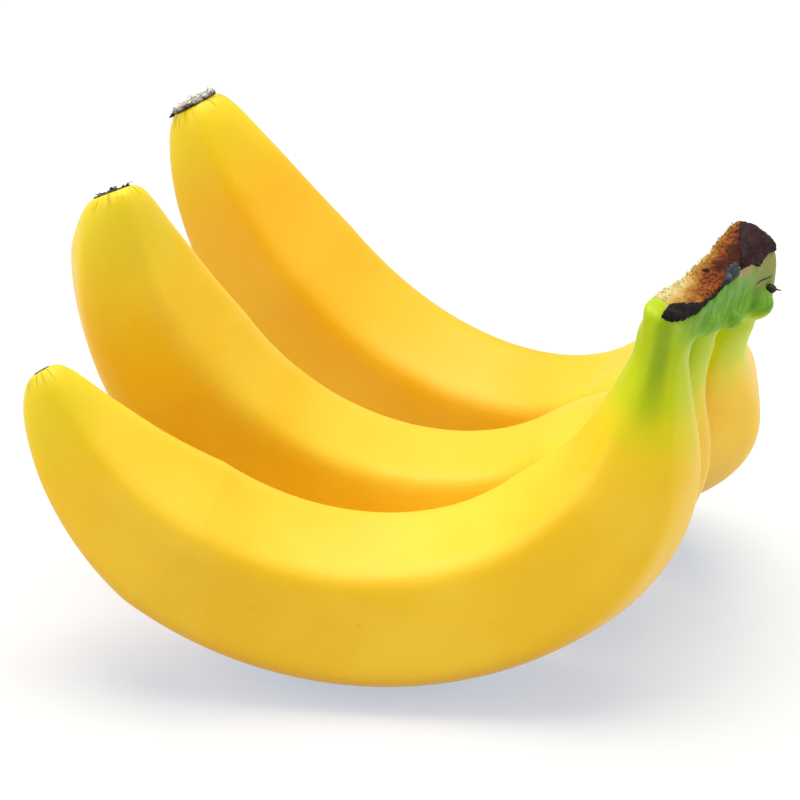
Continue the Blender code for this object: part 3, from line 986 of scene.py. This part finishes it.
def torn_pith():
    """Dry banana pith: matt, cream towards the ridge and browned to orange where it dried."""
    made, node = blank_material("torn_crown_pith")
    place = node("place")
    row, out = [node("attribute", attribute_name=name) for name in ("row", "out")]
    cloud = node("noise", place, per_metre(3.03), 5.0, 0.65)
    fine = node("noise", place, per_metre(0.6667), 4.0, 0.7)
    age = node("add", node("share", row, 2.0, 27.0, 0.0, 0.5),
               node("share", out, -2.4, 2.8, 0.0, 0.55))
    age = node("add", age, node("multiply", node("subtract", cloud, 0.5), 0.9))
    colour = node("ramp", age, stops=((0.0, "#DCCC90"), (0.26, "#C8A657"), (0.48, "#AE7A30"),
                                      (0.72, "#94491A"), (1.0, "#3E1C10")))
    dark = node("share", fine, 0.54, 0.4)
    dark = node("multiply", dark, node("share", age, 0.25, 0.8, 0.1, 1.0))
    colour = node("mix", dark, colour, "#43200F")
    off_hole = node("distance", node("join", row, out), (*PITH_HOLE, 0.0))
    colour = node("mix", node("share", off_hole, 1.2, 0.6), colour, "#2A140C")
    surfaced(node, colour, 0.9, 0.2, node("bump", fine, 0.6, 0.4 * METRE))
    return made


def black_rind():
    """Dried rind: dull, charred black and brittle, blue-grey where it has gone leathery."""
    made, node = blank_material("black_dried_rind")
    row = node("attribute", attribute_name="row")
    cloud = node("noise", node("place"), per_metre(1.4286), 5.0, 0.7)
    black = node("ramp", cloud, stops=(
        (0.35, "#0A0705"), (0.55, "#17110C"), (0.68, "#3A2F22"), (0.82, "#76664C")))
    grey = node("ramp", cloud, stops=(
        (0.35, "#0C0E10"), (0.5, "#353D42"), (0.66, "#59666A"), (0.85, "#8F9488")))
    colour = node("mix", node("share", row, 15.0, 18.0), black, grey)
    surfaced(node, colour, 0.6, 0.15, node("bump", cloud, 0.6, 0.6 * METRE))
    return made


def maroon_cap():
    """Leathery dried skin: half dull, dark red-brown with darker pores."""
    made, node = blank_material("maroon_dried_skin")
    cloud = node("noise", node("place"), per_metre(2.381), 5.0, 0.65)
    colour = node("ramp", cloud, stops=(
        (0.35, "#14080A"), (0.5, "#2A1114"), (0.66, "#3E1C1C"), (0.82, "#5C2E2A")))
    surfaced(node, colour, 0.55, 0.15, node("bump", cloud, 0.5, 0.5 * METRE))
    return made


def withered_stub():
    """Withered stalk: dull olive-black."""
    made, node = blank_material("withered_stub")
    cloud = node("noise", node("place"), per_metre(1.111), 4.0, 0.6)
    colour = node("ramp", cloud, stops=((0.3, "#14130C"), (0.55, "#34321A"), (0.8, "#6A6432")))
    surfaced(node, colour, 0.6, 0.5)
    return made


def dried_petals(name, low, high):
    """Dry flower remains: matt, black in the folds and paler on the flakes' tips."""
    made, node = blank_material(name)
    cloud = node("noise", node("place"), per_metre(1.25), 4.0, 0.7)
    share = node("share", node("attribute", attribute_name="above"), -0.4, 0.7, -0.5, 0.1)
    share = node("add", share, node("multiply", node("subtract", cloud, 0.2), 1.6))
    colour = node("ramp", share, stops=((0.1, "#16110E"), (0.38, low), (0.72, high)))
    surfaced(node, colour, 0.75, 0.5)
    return made


def finish_piece(item, finish, slot, *nodes):
    """Give a piece its material, let it ride on the bunch and stand for its CAD nodes."""
    item.data.materials.clear()
    item.data.materials.append(finish)
    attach(item, "root")
    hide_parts(*nodes)


skin = grown_skin()
finish_piece(skin, ripe_peel(), "ripe_peel",
             "banana_front", "banana_middle", "banana_rear", "crown")
finish_piece(skin_piece(skin, "torn_pith", on_the_pith, pith_rise, 0.8, 1.0, loose_fibres),
             torn_pith(), "cut_pith", "crown_pith")
finish_piece(skin_piece(skin, "black_torn_rind", on_the_rind, rind_rise, 0.3),
             black_rind(), "dried_rind", "torn_rind")
finish_piece(skin_piece(skin, "dried_crown_cap", on_the_cap, cap_rise),
             maroon_cap(), "dried_rind", "dried_end")
finish_piece(dried_stub(), withered_stub(), "dried_rind", "dried_stub")
for fruit_name, low, high in (("front", "#3A3224", "#6A6040"), ("middle", "#4A4038", "#9A8C7A"),
                              ("rear", "#9A9288", "#E6E2DA")):
    finish_piece(dried_flower(fruit_name), dried_petals("dry_petals_" + fruit_name, low, high),
                 "dried_flower", "blossom_end_" + fruit_name)


# Studio

# Linear colours, because they balance each other to white
FLOOR_COLOUR = (0.60, 0.50, 0.36, 1.0)
FLOOR_GLOW = (0.48, 0.71, 0.965, 1.0)

# Softboxes: name, place, target, size in metres and power in watts
SOFTBOXES = (("overhead_softbox", (-0.05, 0.1, 0.9), (0.0, 0.0, 0.04), 0.9, 9.4),
             ("left_softbox", (-0.9, -0.35, 0.55), (0.0, 0.0, 0.04), 0.7, 3.8),
             ("right_softbox", (1.0, -0.15, 0.3), (0.05, 0.0, 0.05), 0.6, 2.3))
WORLD_BRIGHTNESS = 0.40


def studio_floor():
    """A pale seamless floor. Its brightener gives back as blue what it takes away, as in white
    paper, so it is white, and its shadow under the yellow fruit is grey."""
    mesh = bpy.data.meshes.new("studio_floor")
    mesh.from_pydata([(-4, -4, 0), (4, -4, 0), (4, 8, 0), (-4, 8, 0)], [], [(0, 1, 2, 3)])
    item = bpy.data.objects.new("studio_floor", mesh)
    bpy.context.scene.collection.objects.link(item)
    made, node = blank_material("white_paper_floor")
    shader = surfaced(node, FLOOR_COLOUR, 0.9, 0.0)
    shader.inputs["Emission Color"].default_value = FLOOR_GLOW
    shader.inputs["Emission Strength"].default_value = 0.6
    mesh.materials.append(made)


def soft_light(name, place, target, size, power):
    """A square softbox turned to its target."""
    light = bpy.data.lights.new(name, "AREA")
    light.shape = "SQUARE"
    light.size = size
    light.energy = power
    item = bpy.data.objects.new(name, light)
    item.location = place
    item.rotation_euler = (Vector(target) - Vector(place)).to_track_quat("-Z", "Y").to_euler()
    bpy.context.scene.collection.objects.link(item)


def studio_light():
    """A white room with a large softbox overhead and a smaller, weaker one on each side."""
    world = bpy.data.worlds.new("white_room")
    world.use_nodes = True
    background = world.node_tree.nodes["Background"]
    background.inputs["Color"].default_value = (1.0, 1.0, 1.0, 1.0)
    background.inputs["Strength"].default_value = WORLD_BRIGHTNESS
    bpy.context.scene.world = world
    for softbox in SOFTBOXES:
        soft_light(*softbox)


# The camera fitted to the photo: degrees, millimetres, and pixels of the photo
CAMERA_HEIGHT_ANGLE = 23.4
CAMERA_DISTANCE = 1060.0
CAMERA_AIM = np.array([0.0, 0.0, 45.0])
FOCAL_PIXELS = 4765.0
PICTURE_PIXELS = 800
SENSOR_WIDTH = 36.0


def camera():
    """The photograph's view, tipped with the bunch."""
    angle = math.radians(CAMERA_HEIGHT_ANGLE)
    forward = np.array([0.0, math.cos(angle), -math.sin(angle)])
    up = np.array([0.0, math.sin(angle), math.cos(angle)])
    start = placed(CAMERA_AIM - CAMERA_DISTANCE * forward)
    origin = placed(np.zeros(3))
    right = placed(np.array([1.0, 0.0, 0.0])) - origin
    up = placed(up) - origin
    back = -(placed(forward) - origin)
    lens = bpy.data.cameras.new("photo_camera")
    lens.sensor_width = SENSOR_WIDTH
    lens.lens = FOCAL_PIXELS / PICTURE_PIXELS * SENSOR_WIDTH
    lens.clip_start = 0.05
    lens.clip_end = 50.0
    item = bpy.data.objects.new("photo_camera", lens)
    turn = Matrix([right, up, back]).transposed()
    item.matrix_world = Matrix.Translation(Vector(start * METRE)) @ turn.to_4x4()
    bpy.context.scene.collection.objects.link(item)
    bpy.context.scene.camera = item


studio_floor()
studio_light()
camera()
bpy.context.scene.view_settings.view_transform = "Standard"
